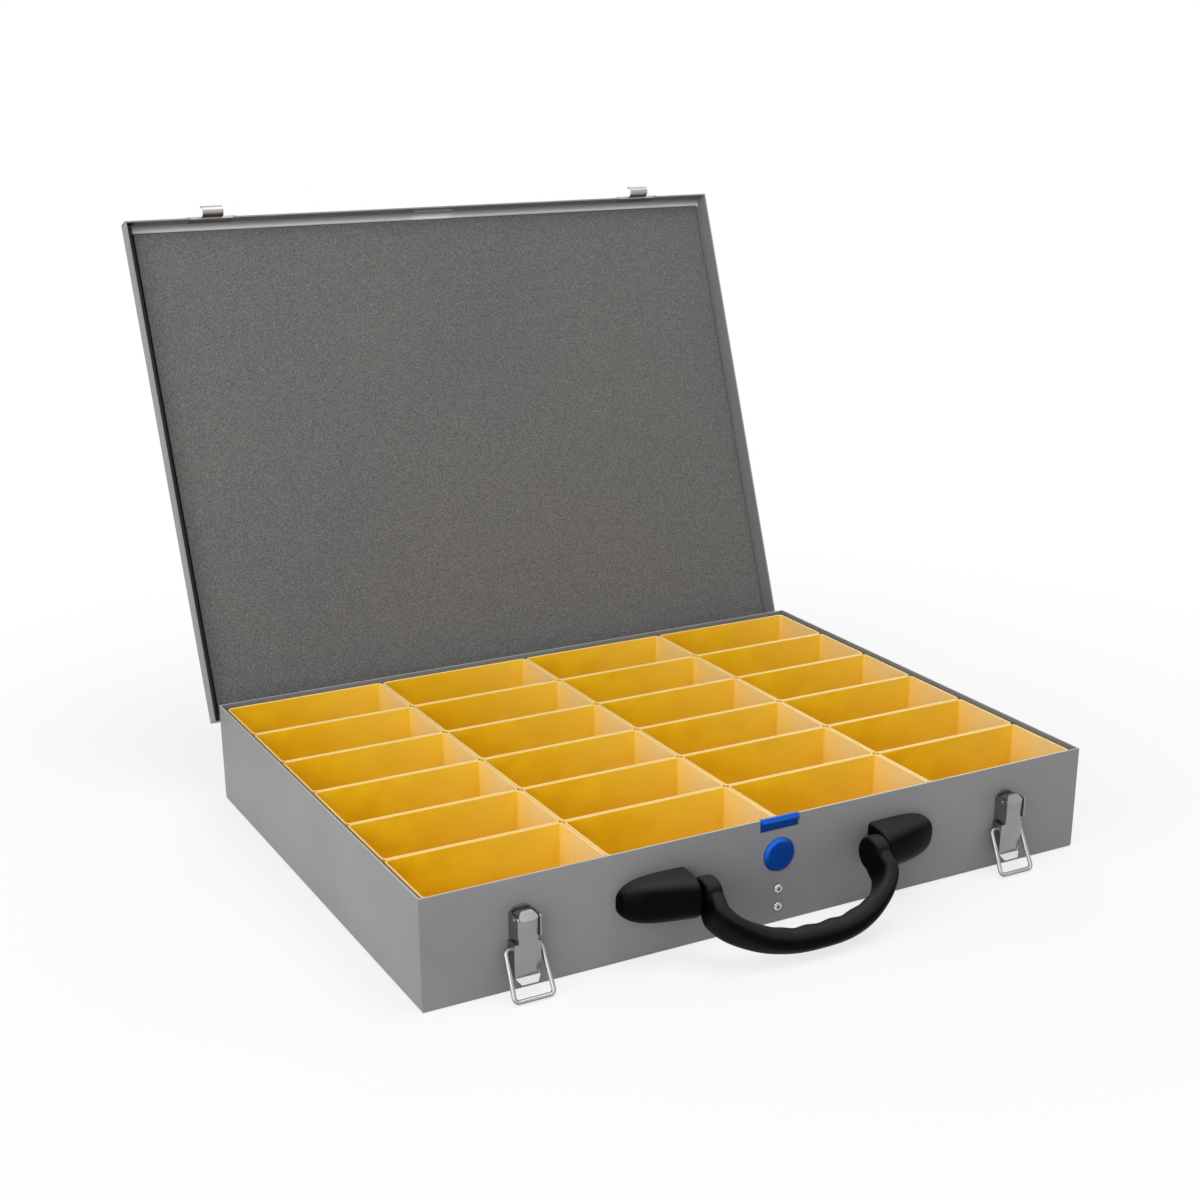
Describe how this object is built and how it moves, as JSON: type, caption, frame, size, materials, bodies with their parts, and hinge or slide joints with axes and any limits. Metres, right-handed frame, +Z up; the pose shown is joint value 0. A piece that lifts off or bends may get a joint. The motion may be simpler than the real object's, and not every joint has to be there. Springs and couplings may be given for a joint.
{
  "type": "compartment organizer case",
  "caption": "Flat steel carrying case with a hinged foam-lined lid, toggle latches, a push-button centre lock, a swinging grip and a full grid of lift-out plastic bins.",
  "frame": {"origin": "centre of the underside of the case", "axes": "+X to the right, the front with the handle faces -Y, +Z up; the lid stands open behind"},
  "size_m": [0.443, 0.5166, 0.3701],
  "materials": {
    "grey_paint": "satin grey powder paint",
    "foam_liner": "speckled dark grey foam sheet",
    "bright_steel": "bright zinc plate",
    "latch_steel": "polished plated steel",
    "black_plastic": "satin moulded plastic",
    "blue_plastic": "moulded plastic",
    "yellow_plastic": "satin moulded plastic"
  },
  "bodies": {
    "case": {"case_base": "grey_paint", "hinge_base_leaf_left": "grey_paint", "hinge_base_leaf_right": "grey_paint", "hinge_pin_left": "bright_steel", "hinge_pin_right": "bright_steel", "latch_bracket_left": "latch_steel", "latch_bracket_right": "latch_steel", "latch_pin_left": "bright_steel", "latch_pin_right": "bright_steel", "latch_rivets": "bright_steel", "handle_housing_left": "black_plastic", "handle_housing_right": "black_plastic", "handle_pin_left": "bright_steel", "handle_pin_right": "bright_steel", "handle_rivets": "bright_steel", "lock_foot": "blue_plastic", "lock_rivets": "bright_steel"},
    "lid": {"lid_shell": "grey_paint", "lid_foam": "foam_liner", "hinge_lid_leaf_left": "grey_paint", "hinge_lid_leaf_right": "grey_paint", "lid_catch_left": "bright_steel", "lid_catch_right": "bright_steel"},
    "grip": {"handle_grip": "black_plastic"},
    "lock": {"lock_tongue": "blue_plastic"},
    "lever_left": {"latch_lever_left": "latch_steel"},
    "bail_left": {"latch_bail_left": "bright_steel"},
    "lever_right": {"latch_lever_right": "latch_steel"},
    "bail_right": {"latch_bail_right": "bright_steel"},
    "bin_1_1": {"bin_1_1": "yellow_plastic"},
    "bin_1_2": {"bin_1_2": "yellow_plastic"},
    "bin_1_3": {"bin_1_3": "yellow_plastic"},
    "bin_1_4": {"bin_1_4": "yellow_plastic"},
    "bin_1_5": {"bin_1_5": "yellow_plastic"},
    "bin_1_6": {"bin_1_6": "yellow_plastic"},
    "bin_2_1": {"bin_2_1": "yellow_plastic"},
    "bin_2_2": {"bin_2_2": "yellow_plastic"},
    "bin_2_3": {"bin_2_3": "yellow_plastic"},
    "bin_2_4": {"bin_2_4": "yellow_plastic"},
    "bin_2_5": {"bin_2_5": "yellow_plastic"},
    "bin_2_6": {"bin_2_6": "yellow_plastic"},
    "bin_3_1": {"bin_3_1": "yellow_plastic"},
    "bin_3_2": {"bin_3_2": "yellow_plastic"},
    "bin_3_3": {"bin_3_3": "yellow_plastic"},
    "bin_3_4": {"bin_3_4": "yellow_plastic"},
    "bin_3_5": {"bin_3_5": "yellow_plastic"},
    "bin_3_6": {"bin_3_6": "yellow_plastic"},
    "bin_4_1": {"bin_4_1": "yellow_plastic"},
    "bin_4_2": {"bin_4_2": "yellow_plastic"},
    "bin_4_3": {"bin_4_3": "yellow_plastic"},
    "bin_4_4": {"bin_4_4": "yellow_plastic"},
    "bin_4_5": {"bin_4_5": "yellow_plastic"},
    "bin_4_6": {"bin_4_6": "yellow_plastic"}
  },
  "joints": [
    {"name": "lid_hinge", "type": "hinge", "parent": "case", "child": "lid", "pos_m": [0, 0.1682, 0.0511], "axis": [-1, 0, 0], "range_deg": [-110.5, 0]},
    {"name": "grip_swing", "type": "hinge", "parent": "case", "child": "grip", "pos_m": [0, -0.18, 0.0372], "axis": [-1, 0, 0], "range_deg": [0, 100]},
    {"name": "lock_button", "type": "hinge", "parent": "case", "child": "lock", "pos_m": [0, -0.1635, 0.0275], "axis": [-1, 0, 0], "range_deg": [0, 2.2], "stiffness_Nm_per_rad": 0.6},
    {"name": "lever_left_pivot", "type": "hinge", "parent": "case", "child": "lever_left", "pos_m": [-0.1627, -0.1715, 0.0449], "axis": [-1, 0, 0], "range_deg": [0, 115]},
    {"name": "bail_left_pivot", "type": "hinge", "parent": "lever_left", "child": "bail_left", "pos_m": [-0.1627, -0.168, 0.0267], "axis": [1, 0, 0], "range_deg": [-147.19, 0]},
    {"name": "lever_right_pivot", "type": "hinge", "parent": "case", "child": "lever_right", "pos_m": [0.1627, -0.1715, 0.0449], "axis": [-1, 0, 0], "range_deg": [0, 115]},
    {"name": "bail_right_pivot", "type": "hinge", "parent": "lever_right", "child": "bail_right", "pos_m": [0.1627, -0.168, 0.0267], "axis": [1, 0, 0], "range_deg": [-147.19, 0]},
    {"name": "lift_bin_1_1", "type": "slide", "parent": "case", "child": "bin_1_1", "axis": [0, 0, 1], "range_m": [0, 0.07]},
    {"name": "lift_bin_1_2", "type": "slide", "parent": "case", "child": "bin_1_2", "axis": [0, 0, 1], "range_m": [0, 0.07]},
    {"name": "lift_bin_1_3", "type": "slide", "parent": "case", "child": "bin_1_3", "axis": [0, 0, 1], "range_m": [0, 0.07]},
    {"name": "lift_bin_1_4", "type": "slide", "parent": "case", "child": "bin_1_4", "axis": [0, 0, 1], "range_m": [0, 0.07]},
    {"name": "lift_bin_1_5", "type": "slide", "parent": "case", "child": "bin_1_5", "axis": [0, 0, 1], "range_m": [0, 0.07]},
    {"name": "lift_bin_1_6", "type": "slide", "parent": "case", "child": "bin_1_6", "axis": [0, 0, 1], "range_m": [0, 0.07]},
    {"name": "lift_bin_2_1", "type": "slide", "parent": "case", "child": "bin_2_1", "axis": [0, 0, 1], "range_m": [0, 0.07]},
    {"name": "lift_bin_2_2", "type": "slide", "parent": "case", "child": "bin_2_2", "axis": [0, 0, 1], "range_m": [0, 0.07]},
    {"name": "lift_bin_2_3", "type": "slide", "parent": "case", "child": "bin_2_3", "axis": [0, 0, 1], "range_m": [0, 0.07]},
    {"name": "lift_bin_2_4", "type": "slide", "parent": "case", "child": "bin_2_4", "axis": [0, 0, 1], "range_m": [0, 0.07]},
    {"name": "lift_bin_2_5", "type": "slide", "parent": "case", "child": "bin_2_5", "axis": [0, 0, 1], "range_m": [0, 0.07]},
    {"name": "lift_bin_2_6", "type": "slide", "parent": "case", "child": "bin_2_6", "axis": [0, 0, 1], "range_m": [0, 0.07]},
    {"name": "lift_bin_3_1", "type": "slide", "parent": "case", "child": "bin_3_1", "axis": [0, 0, 1], "range_m": [0, 0.07]},
    {"name": "lift_bin_3_2", "type": "slide", "parent": "case", "child": "bin_3_2", "axis": [0, 0, 1], "range_m": [0, 0.07]},
    {"name": "lift_bin_3_3", "type": "slide", "parent": "case", "child": "bin_3_3", "axis": [0, 0, 1], "range_m": [0, 0.07]},
    {"name": "lift_bin_3_4", "type": "slide", "parent": "case", "child": "bin_3_4", "axis": [0, 0, 1], "range_m": [0, 0.07]},
    {"name": "lift_bin_3_5", "type": "slide", "parent": "case", "child": "bin_3_5", "axis": [0, 0, 1], "range_m": [0, 0.07]},
    {"name": "lift_bin_3_6", "type": "slide", "parent": "case", "child": "bin_3_6", "axis": [0, 0, 1], "range_m": [0, 0.07]},
    {"name": "lift_bin_4_1", "type": "slide", "parent": "case", "child": "bin_4_1", "axis": [0, 0, 1], "range_m": [0, 0.07]},
    {"name": "lift_bin_4_2", "type": "slide", "parent": "case", "child": "bin_4_2", "axis": [0, 0, 1], "range_m": [0, 0.07]},
    {"name": "lift_bin_4_3", "type": "slide", "parent": "case", "child": "bin_4_3", "axis": [0, 0, 1], "range_m": [0, 0.07]},
    {"name": "lift_bin_4_4", "type": "slide", "parent": "case", "child": "bin_4_4", "axis": [0, 0, 1], "range_m": [0, 0.07]},
    {"name": "lift_bin_4_5", "type": "slide", "parent": "case", "child": "bin_4_5", "axis": [0, 0, 1], "range_m": [0, 0.07]},
    {"name": "lift_bin_4_6", "type": "slide", "parent": "case", "child": "bin_4_6", "axis": [0, 0, 1], "range_m": [0, 0.07]}
  ]
}
